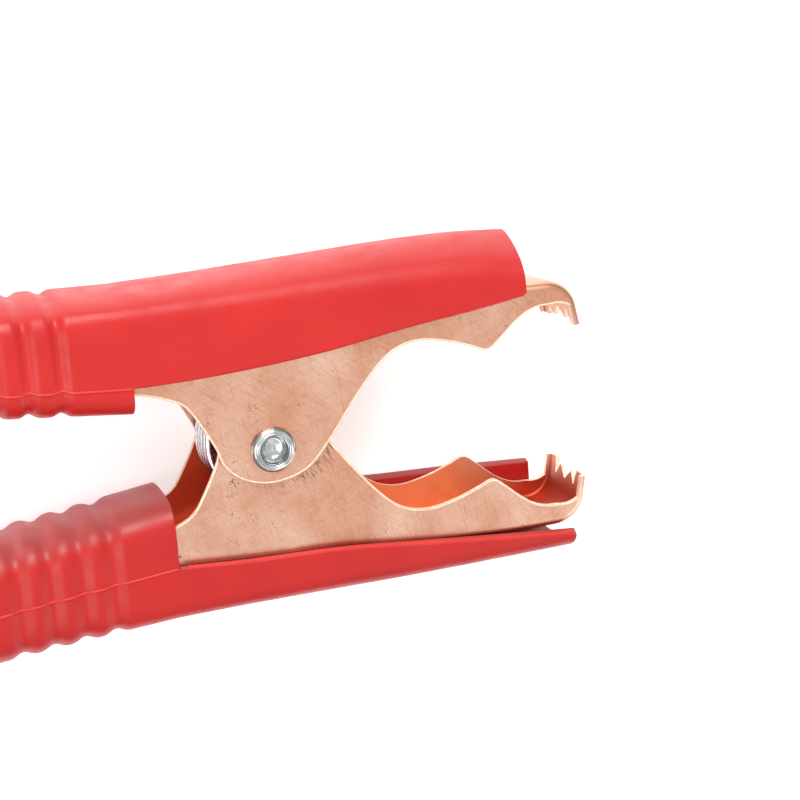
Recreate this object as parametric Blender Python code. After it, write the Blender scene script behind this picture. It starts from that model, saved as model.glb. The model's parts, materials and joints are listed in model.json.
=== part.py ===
# Insulated alligator clip: two stamped jaws on one rivet, a torsion spring and two soft boots.
# Metres, +Z up. The clip lies on its side: +Z is the rivet's axis, +X runs from the rivet
# towards the jaw tips along the line midway between the jaws, +Y points to the upper jaw.
# Helper functions work in millimetres from the rivet's axis; Z 0 there is the table.
import math

import bmesh
import bpy
from mathutils import Matrix

MM = 0.001

# ---------------------------------------------------------------- driving dimensions (mm)
PIVOT_X = -0.45            # rivet axis from the middle of the whole clip
PIVOT_Y = 0.3
HALF_OPENING = 13.5        # each jaw's angle from the middle line, degrees
SHEET = 0.8                # jaw sheet
JAW_WIDTH = 16.2           # outside width of the stamped channel
JAW_BEND = 3.0             # outside bend radius of the channel
NEAR_FACE = 19.05          # upper jaw's upper face above the table
JAW_STEP = 1.1             # the lower jaw sits this much lower, so the ears interleave
GAP = 0.3

FRONT_CENTRE = (50.3, 4.6)  # centre of the rounded nose, in the closed jaw's own frame
FRONT_RADIUS = 6.1
NOSE_START = 98.0          # degrees on the nose arc
TOOTH_DEPTH = 2.1
SMALL_TOOTH_DROP = 0.6
TOOTH_TIP = (56.0, 0.15)
TOOTH_BEND = 1.2           # bend radius left at the tooth row

RIVET_SHAFT = 2.7          # radius
RIVET_HOLE = 3.0
RIVET_HEAD = 3.6
RIVET_HEAD_THICK = 0.9
RIVET_BORE = 2.1
RIVET_BORE_DEPTH = 2.6
RIVET_TAIL = 4.0

WIRE = 0.9                 # spring wire radius
COIL_RADIUS = 9.1          # to the middle of the wire
COIL_PITCH = 1.9
COIL_TURNS = 4
COIL_GAP = 1.2             # extra space before the last turn

BOOT_WALL = 1.5
BOOT_ROUND = 1.2           # how far the round of the section would stand past the flats
RIB_PITCH = 5.1
RIB_DEPTH = 0.7
RIBS = 5
CABLE_HOLE = 4.0
END_WALL = 2.0

SCREW_X = -35.5
SCREW_SHAFT = 1.95
SCREW_HOLE = 2.3
SPINE_AT_SCREW = 22.9      # outside of the handle's back, from the middle line

COPPER = (0.72, 0.42, 0.29)
STEEL = (0.66, 0.66, 0.67)
RED = (0.75, 0.035, 0.03)


# ---------------------------------------------------------------- helpers
def clear_scene():
    for obj in list(bpy.data.objects):
        bpy.data.objects.remove(obj, do_unlink=True)


def material(name, colour, metallic, roughness):
    mat = bpy.data.materials.new(name)
    mat.use_nodes = True
    shader = mat.node_tree.nodes["Principled BSDF"]
    shader.inputs["Base Color"].default_value = (*colour, 1.0)
    shader.inputs["Metallic"].default_value = metallic
    shader.inputs["Roughness"].default_value = roughness
    return mat


def add_object(name, points, faces, mat, smooth=True):
    """A closed body from points in mm about the rivet axis, with its origin on that axis."""
    mesh = bpy.data.meshes.new(name)
    mesh.from_pydata([(x * MM, y * MM, z * MM) for x, y, z in points], [], faces)
    bm = bmesh.new()
    bm.from_mesh(mesh)
    bmesh.ops.recalc_face_normals(bm, faces=bm.faces)
    bm.to_mesh(mesh)
    bm.free()
    mesh.materials.append(mat)
    if smooth:
        mesh.shade_smooth()
        mesh.set_sharp_from_angle(angle=math.radians(35))
    obj = bpy.data.objects.new(name, mesh)
    obj.location = (PIVOT_X * MM, PIVOT_Y * MM, 0)
    bpy.context.scene.collection.objects.link(obj)
    return obj


def swing(point, side):
    """From the closed jaw's frame to the open one; side 1 is the upper jaw, -1 the lower."""
    angle = math.radians(HALF_OPENING)
    x = point[0] * math.cos(angle) - point[1] * math.sin(angle)
    y = point[0] * math.sin(angle) + point[1] * math.cos(angle)
    return x, side * y


def ring_faces(first, second, count, closed=True):
    last = count if closed else count - 1
    return [(first + j, first + (j + 1) % count, second + (j + 1) % count, second + j)
            for j in range(last)]


def turned(profile, steps):
    """Points and faces of a solid turned about Z from (radius, z) pairs; ends on the axis."""
    points = [(0, 0, profile[0][1])]
    for radius, z in profile[1:-1]:
        for k in range(steps):
            angle = 2 * math.pi * k / steps
            points.append((radius * math.cos(angle), radius * math.sin(angle), z))
    points.append((0, 0, profile[-1][1]))
    rings = len(profile) - 2
    faces = []
    for k in range(steps):
        faces.append((0, 1 + k, 1 + (k + 1) % steps))
    for i in range(rings - 1):
        faces += ring_faces(1 + i * steps, 1 + (i + 1) * steps, steps)
    start = 1 + (rings - 1) * steps
    for k in range(steps):
        faces.append((len(points) - 1, start + (k + 1) % steps, start + k))
    return points, faces


def drill(obj, radius, centre, direction):
    """Cuts a round hole right through along Z or Y with a cutter that stays in the file."""
    cutter_mesh = bpy.data.meshes.new(obj.name + "_drill")
    bm = bmesh.new()
    bmesh.ops.create_cone(bm, cap_ends=True, segments=24, radius1=radius * MM,
                          radius2=radius * MM, depth=60 * MM)
    if direction == "Y":
        bmesh.ops.rotate(bm, verts=bm.verts, cent=(0, 0, 0),
                         matrix=Matrix.Rotation(math.radians(90), 3, "X"))
    bm.to_mesh(cutter_mesh)
    bm.free()
    cutter = bpy.data.objects.new(obj.name + "_drill_" + direction, cutter_mesh)
    cutter.location = [(c + p) * MM for c, p in zip(centre, (PIVOT_X, PIVOT_Y, 0))]
    cutter.hide_render = True
    cutter.display_type = "WIRE"
    bpy.context.scene.collection.objects.link(cutter)
    cut = obj.modifiers.new("drill_" + direction, "BOOLEAN")
    cut.operation = "DIFFERENCE"
    cut.solver = "EXACT"
    cut.object = cutter


# ---------------------------------------------------------------- jaws
def body_stations():
    """(back point, edge point, half width, bend radius) in the open upper jaw's frame."""
    full = JAW_WIDTH / 2
    return [
        ((-45.0, SPINE_AT_SCREW), (-45.0, 13.4), 5.5, 1.8),
        ((-40.5, SPINE_AT_SCREW), (-40.5, 13.4), 5.5, 1.8),
        ((-39.5, SPINE_AT_SCREW), (-39.5, 17.6), 5.5, 1.8),
        ((-32.0, SPINE_AT_SCREW), (-32.0, 14.6), 6.2, 2.0),
        ((-27.0, 23.2), (-27.0, 13.5), 7.4, 2.2),
        ((-21.5, 23.4), (-21.8, 12.3), full, JAW_BEND),
        ((-16.0, 23.5), (-17.2, 10.9), full, JAW_BEND),
        ((-11.5, 23.6), (-13.8, 9.1), full, JAW_BEND),
        ((-9.0, 23.6), (-11.5, 5.7), full, JAW_BEND),
        ((-7.5, 23.6), (-9.3, 1.4), full, JAW_BEND),
        ((-6.0, 23.6), (-8.1, -1.8), full, JAW_BEND),
        ((-4.0, 23.6), (-5.0, -4.5), full, JAW_BEND),
        ((0.0, 23.6), (-0.4, -5.6), full, JAW_BEND),
        ((3.0, 23.5), (4.8, -4.4), full, JAW_BEND),
        ((6.0, 23.4), (8.6, -1.0), full, JAW_BEND),
        ((11.0, 23.1), (14.2, 6.3), full, JAW_BEND),
        ((15.0, 22.9), (17.4, 10.1), full, JAW_BEND),
        ((18.5, 22.7), (20.2, 12.7), full, JAW_BEND),
        ((22.5, 22.5), (23.0, 14.1), full, JAW_BEND),
        ((26.5, 22.4), (26.5, 14.5), full, JAW_BEND),
        ((31.0, 22.3), (31.0, 13.6), full, JAW_BEND),
        ((35.0, 22.2), (35.0, 12.2), full, JAW_BEND),
        ((37.5, 22.1), (37.5, 11.3), full, JAW_BEND),
        ((40.0, 22.1), (39.6, 12.7), full, JAW_BEND),
        ((42.5, 22.0), (43.0, 15.6), full, JAW_BEND),
        ((44.2, 21.9), (46.3, 17.4), full, JAW_BEND),
    ]


def nose_stations(count):
    """Stations round the nose: the walls get lower until only the tooth row is left."""
    stations = []
    for i in range(count):
        share = i / (count - 1)
        angle = math.radians(NOSE_START * (1 - share))
        back = (FRONT_CENTRE[0] + FRONT_RADIUS * math.cos(angle),
                FRONT_CENTRE[1] + FRONT_RADIUS * math.sin(angle))
        inward = (-math.cos(angle), -math.sin(angle))
        depth = 4.6 + (TOOTH_BEND + 0.15 - 4.6) * share
        bend = JAW_BEND + (TOOTH_BEND - JAW_BEND) * share
        edge = (back[0] + inward[0] * depth, back[1] + inward[1] * depth)
        stations.append((swing(back, 1), swing(edge, 1), JAW_WIDTH / 2, bend))
    return stations


def jaw_columns(half, bend, depth):
    """(across, depth) pairs of the outer and inner skins, from one wall's edge to the other's."""
    slant = math.sqrt(0.5)
    inner = bend - SHEET
    wall = [(half, depth), (half, bend), (half - bend + bend * slant, bend - bend * slant),
            (half - bend, 0.0)]
    wall_in = [(half - SHEET, depth), (half - SHEET, bend),
               (half - bend + inner * slant, bend - inner * slant), (half - bend, SHEET)]
    scale = (half - JAW_BEND) / (JAW_WIDTH / 2 - JAW_BEND)
    rows = [4.4, 4.2, 2.2, 0.0, -2.2, -4.2, -4.4]
    outer = wall + [(row * scale, 0.0) for row in rows] + [(-a, d) for a, d in reversed(wall)]
    lining = wall_in + [(row * scale, SHEET) for row in rows]
    lining += [(-a, d) for a, d in reversed(wall_in)]
    return outer, lining


def tooth_reach():
    """How far each column of the tooth row stands past the roots."""
    tall = TOOTH_DEPTH
    small = TOOTH_DEPTH - SMALL_TOOTH_DROP
    root = 0.05
    corner = [tall - 0.3, tall - 0.3, tall - 0.2, tall - 0.1]
    return corner + [tall, root, small, root, small, root, tall] + corner[::-1]


def jaw(name, side, mat):
    middle = NEAR_FACE - JAW_WIDTH / 2 - (JAW_STEP if side < 0 else 0)
    stations = body_stations() + nose_stations(7)
    rows = []
    for back, edge, half, bend in stations:
        span = math.dist(back, edge)
        way = ((edge[0] - back[0]) / span, (edge[1] - back[1]) / span)
        rows.append([[(back[0] + way[0] * d, back[1] + way[1] * d, a) for a, d in skin]
                     for skin in jaw_columns(half, bend, span)])
    tip = swing(TOOTH_TIP, 1)
    base = stations[-1][0]
    length = math.dist(base, tip)
    down = ((tip[0] - base[0]) / length, (tip[1] - base[1]) / length)
    for reach in ([length - TOOTH_DEPTH] * 15, [length - TOOTH_DEPTH + r for r in tooth_reach()]):
        rows.append([[(x + down[0] * r, y + down[1] * r, a) for (x, y, a), r in zip(skin, reach)]
                     for skin in rows[len(stations) - 1]])
    count = len(rows[0][0]) * 2
    points = []
    for outer, lining in rows:
        points += [(x, side * y, middle + a) for x, y, a in outer + lining[::-1]]
    faces = []
    for i in range(len(rows) - 1):
        faces += ring_faces(i * count, (i + 1) * count, count)
    for start in (0, (len(rows) - 1) * count):
        faces += [(start + j, start + j + 1, start + count - 2 - j, start + count - 1 - j)
                  for j in range(count // 2 - 1)]
    obj = add_object(name, points, faces, mat)
    drill(obj, RIVET_HOLE, (0, 0, middle), "Z")
    drill(obj, SCREW_HOLE, (SCREW_X, side * 45.0, middle), "Y")
    return obj


# ---------------------------------------------------------------- boots
# "tube": x, middle and half height at the tail and at the collar.
# "shroud": x, middle, half height, roundness, near edge, far edge.
# "across": height of the middle above the table, and half width across the flats.
UPPER_BOOT = {
    "tail": -54.0, "collar": -21.9, "ribs": -33.1, "across": (10.4, 10.4),
    "tube": ((-54.0, 20.4, 9.5), (-21.9, 18.1, 9.9)),
    "shroud": [(-21.9, 18.1, 9.9, 3.0, 13.6, 13.6), (-8.0, 18.1, 10.2, 2.7, 13.9, 13.9),
               (8.5, 18.2, 10.7, 2.3, 15.2, 15.2), (24.0, 18.8, 10.6, 2.0, 17.5, 17.5),
               (35.0, 19.3, 10.0, 1.7, 18.8, 18.8), (44.4, 20.1, 8.5, 1.3, 20.2, 20.2)],
}
LOWER_BOOT = {
    "tail": -51.0, "collar": -17.2, "ribs": -27.9, "across": (9.85, 9.85),
    "tube": ((-51.0, 20.4, 10.0), (-17.2, 16.8, 10.2)),
    "shroud": [(-17.2, 16.8, 10.2, 3.2, 17.3, 10.2), (-5.0, 16.7, 10.1, 3.0, 18.1, 11.0),
               (10.0, 16.8, 10.1, 2.8, 18.6, 11.6), (22.0, 16.8, 10.0, 2.8, 19.6, 12.5),
               (35.0, 16.8, 9.7, 2.8, 20.8, 13.0), (51.5, 16.8, 9.4, 2.6, 22.2, 13.9)],
}
OVER = 14                  # segments over the back, from the far edge to the near edge
UNDER = 8                  # segments under the closed tube


def mix(a, b, share):
    return a + (b - a) * share


def section_angle(edge, middle, half, power):
    """The angle from the crest at which the section reaches the height edge."""
    level = max(-1.0, min(1.0, (edge - middle) / half))
    return math.acos(math.copysign(abs(level) ** (power / 2), level))


def section(boot, x, values, wall, side):
    """One closed ring of the boot's outer skin, or of its lining when wall is over zero."""
    middle, half, power, near, far = values
    centre, reach = boot["across"]
    start = -section_angle(far, middle, half, power)
    stop = section_angle(near, middle, half, power)
    angles = [mix(start, stop, j / OVER) for j in range(OVER + 1)]
    angles += [mix(stop, start + 2 * math.pi, j / UNDER) for j in range(1, UNDER)]
    ring = []
    limit = reach - max(0.0, wall - 0.1)
    for angle in angles:
        c = math.copysign(abs(math.cos(angle)) ** (2 / power), math.cos(angle))
        s = math.copysign(abs(math.sin(angle)) ** (2 / power), math.sin(angle))
        across = max(-limit, min(limit, (reach + BOOT_ROUND - wall) * s))
        ring.append((x, side * (middle + (half - wall) * c), centre + across))
    return ring


def tube_values(boot, x):
    (x0, middle0, half0), (x1, middle1, half1) = boot["tube"]
    share = (x - x0) / (x1 - x0)
    near_share = (boot["shroud"][0][4] - middle1) / half1
    far_share = (boot["shroud"][0][5] - middle1) / half1
    middle = mix(middle0, middle1, share)
    half = mix(half0, half1, share)
    return middle, half, mix(2.2, 3.0, share ** 2), middle + near_share * half, middle + far_share * half


def tube_stations(boot):
    """(x, groove depth) from the tail to the collar, with a groove between every two ribs."""
    stations = []
    for rib in range(RIBS - 1, -1, -1):
        groove = boot["ribs"] - rib * RIB_PITCH
        if groove - boot["tail"] > 2.5:
            stations += [(groove - 0.9, 0.0), (groove, RIB_DEPTH), (groove + 0.9, 0.0)]
    stations.append((boot["collar"], 0.0))
    return stations


def shrunk(ring, amount, radius=None):
    """The ring drawn in by amount towards its middle, or pulled to a circle of this radius."""
    cy = sum(p[1] for p in ring) / len(ring)
    cz = sum(p[2] for p in ring) / len(ring)
    out = []
    for x, y, z in ring:
        size = math.hypot(y - cy, z - cz)
        keep = (radius or size - amount) / size
        out.append((x, cy + (y - cy) * keep, cz + (z - cz) * keep))
    return out


def boot_skin(boot, side, wall):
    """Rings of one skin: the tube's, then the open shroud's."""
    tail = boot["tail"] + (END_WALL if wall else 0)
    full = section(boot, tail, tube_values(boot, tail), wall, side)
    rings = [shrunk(full, 0, CABLE_HOLE), shrunk(full, 1.4)]
    rings.append(section(boot, tail + 1.2, tube_values(boot, tail + 1.2), wall, side))
    for x, groove in tube_stations(boot):
        if x > tail + 1.6:
            ring = section(boot, x, tube_values(boot, x), wall, side)
            rings.append(ring if wall else shrunk(ring, groove))
    closed = len(rings)
    for x, *values in boot["shroud"][1:]:
        rings.append(section(boot, x, values, wall, side))
    return rings, closed


def boot_solid(name, boot, side, mat):
    outer, closed_out = boot_skin(boot, side, 0.0)
    lining, closed_in = boot_skin(boot, side, BOOT_WALL)
    count = OVER + UNDER
    points = []
    starts = []
    for ring in outer + lining:
        starts.append(len(points))
        points += ring
    out = starts[:len(outer)]
    inn = starts[len(outer):]
    faces = []
    for rows, closed in ((out, closed_out), (inn, closed_in)):
        for i in range(len(rows) - 1):
            if i + 1 < closed:
                faces += ring_faces(rows[i], rows[i + 1], count)
            else:
                faces += ring_faces(rows[i], rows[i + 1], OVER + 1, closed=False)
    faces += ring_faces(out[0], inn[0], count)
    collar_out = out[closed_out - 1]
    collar_in = inn[closed_in - 1]
    for j in range(OVER, count):
        k = (j + 1) % count
        faces.append((collar_out + j, collar_out + k, collar_in + k, collar_in + j))
    for i in range(len(boot["shroud"]) - 1):
        a, b = out[closed_out - 1 + i], out[closed_out + i]
        c, d = inn[closed_in - 1 + i], inn[closed_in + i]
        faces.append((a, b, d, c))
        faces.append((a + OVER, b + OVER, d + OVER, c + OVER))
    for j in range(OVER):
        faces.append((out[-1] + j, out[-1] + j + 1, inn[-1] + j + 1, inn[-1] + j))
    used = sorted({i for face in faces for i in face})
    slot = {old: new for new, old in enumerate(used)}
    return add_object(name, [points[i] for i in used],
                      [tuple(slot[i] for i in face) for face in faces], mat)


# ---------------------------------------------------------------- rivet, spring, terminal
def rivet(mat):
    top = NEAR_FACE + 0.2
    head = top + RIVET_HEAD_THICK
    far = NEAR_FACE - JAW_STEP - JAW_WIDTH - 0.2
    profile = [(0, head - RIVET_BORE_DEPTH), (RIVET_BORE * 0.75, head - RIVET_BORE_DEPTH),
               (RIVET_BORE, head - RIVET_BORE_DEPTH + 0.8), (RIVET_BORE, head - 0.25),
               (RIVET_BORE + 0.3, head), (RIVET_HEAD - 0.45, head), (RIVET_HEAD, head - 0.45),
               (RIVET_HEAD, top), (RIVET_SHAFT, top), (RIVET_SHAFT, far), (RIVET_TAIL, far),
               (RIVET_TAIL, far - 0.35), (RIVET_TAIL - 0.6, far - 0.9), (0, far - 1.0)]
    points, faces = turned(profile, 24)
    return add_object("pivot_rivet", points, faces, mat)


def spring_path():
    """Middle line of the wire: a leg into the lower handle, the coil, a leg into the upper."""
    low = NEAR_FACE - JAW_WIDTH + SHEET + GAP + WIRE + 0.1
    leave = math.radians(58)
    leg_end = (-23.0, 21.6)
    path = [(leg_end[0], -leg_end[1], low), (-16.0, -17.2, low)]
    steps = 18
    start = -leave
    stop = leave + 2 * math.pi * COIL_TURNS
    count = int((stop - start) / (2 * math.pi) * steps)
    for i in range(count + 1):
        share = i / count
        angle = start + (stop - start) * share
        rise = COIL_PITCH * (stop - start) / (2 * math.pi) * share
        late = max(0.0, share - 1 + 1 / (COIL_TURNS + 0.3)) * (COIL_TURNS + 0.3)
        rise += COIL_GAP * late * late * (3 - 2 * late)
        path.append((COIL_RADIUS * math.cos(angle), COIL_RADIUS * math.sin(angle), low + rise))
    high = path[-1][2]
    path += [(-16.0, 17.2, high), (leg_end[0], leg_end[1], high)]
    return path


def spring(mat):
    curve = bpy.data.curves.new("torsion_spring", "CURVE")
    curve.dimensions = "3D"
    curve.bevel_depth = WIRE * MM
    curve.bevel_resolution = 2
    curve.use_fill_caps = True
    path = spring_path()
    line = curve.splines.new("POLY")
    line.points.add(len(path) - 1)
    for point, (x, y, z) in zip(line.points, path):
        point.co = (x * MM, y * MM, z * MM, 1)
    curve.materials.append(mat)
    obj = bpy.data.objects.new("torsion_spring", curve)
    obj.location = (PIVOT_X * MM, PIVOT_Y * MM, 0)
    bpy.context.scene.collection.objects.link(obj)
    return obj


def along_y(points, y, direction):
    """Stands a piece turned about Z on the line of the terminal screw."""
    middle = NEAR_FACE - JAW_STEP - JAW_WIDTH / 2
    return [(SCREW_X + px, y + direction * pz, middle + py) for px, py, pz in points]


def terminal_screw(mat):
    inner = -(SPINE_AT_SCREW - SHEET) + 0.25
    profile = [(0, 2.4), (2.2, 2.4), (3.4, 1.6), (3.6, 0.9), (3.6, 0.0), (SCREW_SHAFT, 0.0),
               (SCREW_SHAFT, -4.2), (SCREW_SHAFT - 0.4, -4.6), (0, -4.6)]
    points, faces = turned(profile, 20)
    return add_object("terminal_screw", along_y(points, inner, 1), faces, mat)


def flat_ring(name, y0, thick, radius, bore, sides, mat):
    """A washer, or a nut where sides is 6; sides 0 leaves the outside round."""
    steps = 24
    points = []
    for y in (y0, y0 - thick):
        for outer in (True, False):
            for k in range(steps):
                angle = 2 * math.pi * k / steps
                r = radius if outer else bore
                if outer and sides:
                    turn = math.pi / sides
                    r = radius * math.cos(turn) / math.cos(angle % (2 * turn) - turn)
                points.append((r * math.cos(angle), r * math.sin(angle), y))
    faces = ring_faces(0, 2 * steps, steps) + ring_faces(steps, 3 * steps, steps)
    faces += ring_faces(0, steps, steps) + ring_faces(2 * steps, 3 * steps, steps)
    return add_object(name, along_y(points, 0, 1), faces, mat)


def build():
    clear_scene()
    copper = material("copper_plated_steel", COPPER, 1.0, 0.32)
    bright = material("zinc_plated_steel", STEEL, 1.0, 0.25)
    wire = material("spring_steel", STEEL, 1.0, 0.3)
    red = material("soft_pvc", RED, 0.0, 0.4)
    jaw("upper_jaw", 1, copper)
    jaw("lower_jaw", -1, copper)
    boot_solid("upper_boot", UPPER_BOOT, 1, red)
    boot_solid("lower_boot", LOWER_BOOT, -1, red)
    rivet(bright)
    spring(wire)
    terminal_screw(bright)
    outside = -SPINE_AT_SCREW - 0.25
    flat_ring("terminal_lock_washer", outside, 0.9, 3.4, 2.25, 0, bright)
    flat_ring("terminal_nut", outside - 1.15, 2.2, 4.0, 2.25, 6, bright)


build()
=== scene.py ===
# %% [markdown]
# # An insulated alligator clip
# The clip is the kind that grips a battery post. Two identical channels are stamped from
# copper-plated steel sheet, nested ear to ear and held by one hollow rivet. A coil of round
# wire between the ears pushes the jaws together. A soft red boot is pushed over each handle.
# It lies on its side, held open, so both jaws, the rivet and the coil can be seen.
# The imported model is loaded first. It fixes the size, the place and the movement of every
# part, and what follows gives each part its true surface.

# %% Load the frame
import json
import math

import bmesh
import bpy
from mathutils import Matrix, Vector


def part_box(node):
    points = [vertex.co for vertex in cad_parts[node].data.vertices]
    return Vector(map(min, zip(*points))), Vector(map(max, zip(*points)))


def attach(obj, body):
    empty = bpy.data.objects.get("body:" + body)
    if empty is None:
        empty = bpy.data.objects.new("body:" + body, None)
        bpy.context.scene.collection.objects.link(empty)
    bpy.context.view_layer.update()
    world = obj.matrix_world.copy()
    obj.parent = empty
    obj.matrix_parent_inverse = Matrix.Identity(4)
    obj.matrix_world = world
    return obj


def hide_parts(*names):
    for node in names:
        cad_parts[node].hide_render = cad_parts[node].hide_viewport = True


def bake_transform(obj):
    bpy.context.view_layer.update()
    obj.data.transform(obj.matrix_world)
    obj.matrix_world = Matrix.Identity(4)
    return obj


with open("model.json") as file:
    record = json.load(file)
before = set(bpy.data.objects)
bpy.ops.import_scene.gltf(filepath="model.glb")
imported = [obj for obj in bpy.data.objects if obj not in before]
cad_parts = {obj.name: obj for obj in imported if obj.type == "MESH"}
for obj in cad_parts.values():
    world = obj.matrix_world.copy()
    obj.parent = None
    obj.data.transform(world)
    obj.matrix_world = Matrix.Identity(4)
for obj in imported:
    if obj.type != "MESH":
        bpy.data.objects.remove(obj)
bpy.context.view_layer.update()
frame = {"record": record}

MM = 0.001
PER_MM = 1000.0
pivot = Vector(frame["record"]["behaviour"]["joints"][0]["pos_m"])
near_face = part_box("upper_jaw")[1][2] / MM
print("rivet axis at", [round(v / MM, 2) for v in pivot[:2]], "mm; upper jaw's face at", round(near_face, 2))

# %% [markdown]
# ## The view
# The clip is seen from above its table, a little from behind the handles and from the upper
# jaw's side, so the channel of the lower jaw shows its inside. A long lens is used, because a
# small part seen from close by would look swollen at the front.

# %% Camera
camera_at = Vector((-91.53, 110.65, 397.34)) * MM
camera_looks_at = Vector((20.46, 6.28, 22.39)) * MM
top_of_picture = Vector((0.1427, 0.9637, -0.2256))
ahead = (camera_looks_at - camera_at).normalized()
side = ahead.cross(top_of_picture).normalized()
upward = side.cross(ahead)
lens = bpy.data.cameras.new("clip_camera")
lens.lens = 112.5
lens.sensor_width = 36.0
lens.clip_start = 0.01
camera = bpy.data.objects.new("clip_camera", lens)
camera.matrix_world = Matrix((
    (side.x, upward.x, -ahead.x, camera_at.x),
    (side.y, upward.y, -ahead.y, camera_at.y),
    (side.z, upward.z, -ahead.z, camera_at.z),
    (0, 0, 0, 1)))
bpy.context.scene.collection.objects.link(camera)
bpy.context.scene.camera = camera
bpy.context.scene.view_settings.view_transform = "Standard"
print("camera", round((camera_at - camera_looks_at).length / MM), "mm away")

# %% [markdown]
# ## Finishes
# A material starts as a Principled shader. One helper adds a node, sets it and links it, so
# each finish below reads as a list of what the real surface has, and of the light and shade
# painted into some of them. Colours are written as sRGB hex values, as a paint chart gives
# them, and turned to linear light once. A noise's scale is written as a number of features in
# each millimetre of the surface.

# %% Helpers for finishes
def to_linear(text):
    values = [int(text[i:i + 2], 16) / 255 for i in (1, 3, 5)]
    return tuple(v / 12.92 if v <= 0.04045 else ((v + 0.055) / 1.055) ** 2.4 for v in values) + (1.0,)


def add_node(tree, kind, settings, inputs):
    node = tree.nodes.new(kind)
    for name, value in settings.items():
        setattr(node, name, value)
    for name, value in inputs.items():
        if isinstance(value, bpy.types.NodeSocket):
            tree.links.new(value, node.inputs[name])
        else:
            node.inputs[name].default_value = value
    return node


def new_finish(name, metallic, roughness):
    mat = bpy.data.materials.new(name)
    mat.use_nodes = True
    shader = mat.node_tree.nodes["Principled BSDF"]
    shader.inputs["Metallic"].default_value = metallic
    shader.inputs["Roughness"].default_value = roughness
    return mat, mat.node_tree, shader


def two_tones(tree, fac, low, high, start, stop):
    ramp = add_node(tree, "ShaderNodeValToRGB", {}, {"Fac": fac})
    ramp.color_ramp.elements[0].position = start
    ramp.color_ramp.elements[1].position = stop
    ramp.color_ramp.elements[0].color = to_linear(low)
    ramp.color_ramp.elements[1].color = to_linear(high)
    return ramp.outputs["Color"]


print("linear copper", [round(v, 3) for v in to_linear("#DDAE96")])

# %% [markdown]
# ### Scratches
# Rolling and tumbling leave fine straight scratches that cross each other. One direction of
# them is a noise that is squeezed hard across the lines and left long along them. The real
# ones are thinner than 0.1 mm, and these are drawn 0.12 mm wide so that they show at all.

# %% Scratches in one direction
def scratches(tree, place, turn, across, along):
    """A noise drawn out into lines: turn is in degrees about the sheet's normal, sizes in metres."""
    turned = add_node(tree, "ShaderNodeMapping", {},
                      {"Vector": place, "Rotation": (0, 0, math.radians(turn))}).outputs["Vector"]
    drawn_out = add_node(tree, "ShaderNodeMapping", {},
                         {"Vector": turned, "Scale": (1 / along, 1 / across, 1 / across)}).outputs["Vector"]
    return add_node(tree, "ShaderNodeTexNoise", {},
                    {"Vector": drawn_out, "Scale": 1.0, "Detail": 3.0, "Roughness": 0.6}).outputs["Fac"]


print("a scratch 0.12 mm wide and 3.6 mm long is", round(3.6 / 0.12), "times as long as it is wide")

# %% [markdown]
# ### Rub marks and painted shadow
# When the clip is worked, the rim of the upper jaw's ear drags over the lower jaw's side. The
# dark ring just outside the ear's arc is partly these rub marks and partly a painted shadow
# under the ear's rim: it is darkest against the rim and fades outwards. It is heavier on the
# side of the mouth. The ring is found from the distance to the middle of the arc, and short
# scratches break it up, so it doesn't look like a plain band.

# %% Rub marks and painted shadow beside the ear
EAR_MIDDLE = (pivot.x + 0.65 * MM, pivot.y + 4.2 * MM, 0.0)


def rub_marks_and_painted_shadow_beside_ear(tree, place):
    away = add_node(tree, "ShaderNodeVectorMath", {"operation": "SUBTRACT"}, {0: place, 1: EAR_MIDDLE}).outputs[0]
    flat = add_node(tree, "ShaderNodeVectorMath", {"operation": "MULTIPLY"},
                    {0: away, 1: (1.0, 1.0, 0.0)}).outputs[0]
    distance = add_node(tree, "ShaderNodeVectorMath", {"operation": "LENGTH"}, {0: flat}).outputs["Value"]
    # darkest against the ear's rim and fading outwards: rub marks, and a painted shadow under the rim
    fading = add_node(tree, "ShaderNodeMapRange", {},
                      {"Value": distance, "From Min": 12.8 * MM, "From Max": 10.8 * MM}).outputs[0]
    clear_of_ear = add_node(tree, "ShaderNodeMath", {"operation": "GREATER_THAN"},
                            {0: distance, 1: 10.1 * MM}).outputs[0]
    torn = scratches(tree, place, 60, 0.2 * MM, 1.4 * MM)
    drag = add_node(tree, "ShaderNodeMapRange", {}, {"Value": torn, "From Min": 0.48, "From Max": 0.6}).outputs[0]
    ring = add_node(tree, "ShaderNodeMath", {"operation": "MULTIPLY"}, {0: fading, 1: clear_of_ear}).outputs[0]
    broken = add_node(tree, "ShaderNodeMath", {"operation": "MULTIPLY"}, {0: ring, 1: drag}).outputs[0]
    forward = add_node(tree, "ShaderNodeSeparateXYZ", {}, {"Vector": flat}).outputs["X"]
    heavy = add_node(tree, "ShaderNodeMapRange", {},
                     {"Value": forward, "From Min": -4 * MM, "From Max": 6 * MM, "To Min": 0.2}).outputs[0]
    return add_node(tree, "ShaderNodeMath", {"operation": "MULTIPLY"}, {0: broken, 1: heavy}).outputs[0]


print("rub marks lie 10.1 to 12.8 mm from", [round(v / MM, 2) for v in EAR_MIDDLE[:2]])

# %% [markdown]
# ### Copper-plated steel
# The sheet is rolled steel with a thin bright copper plating, a metal with a soft satin
# mirror. Patches about 11 mm wide are a little paler, and dark specks show where the plating
# is thin. Scratches darken it slightly and make it rougher.

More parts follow.
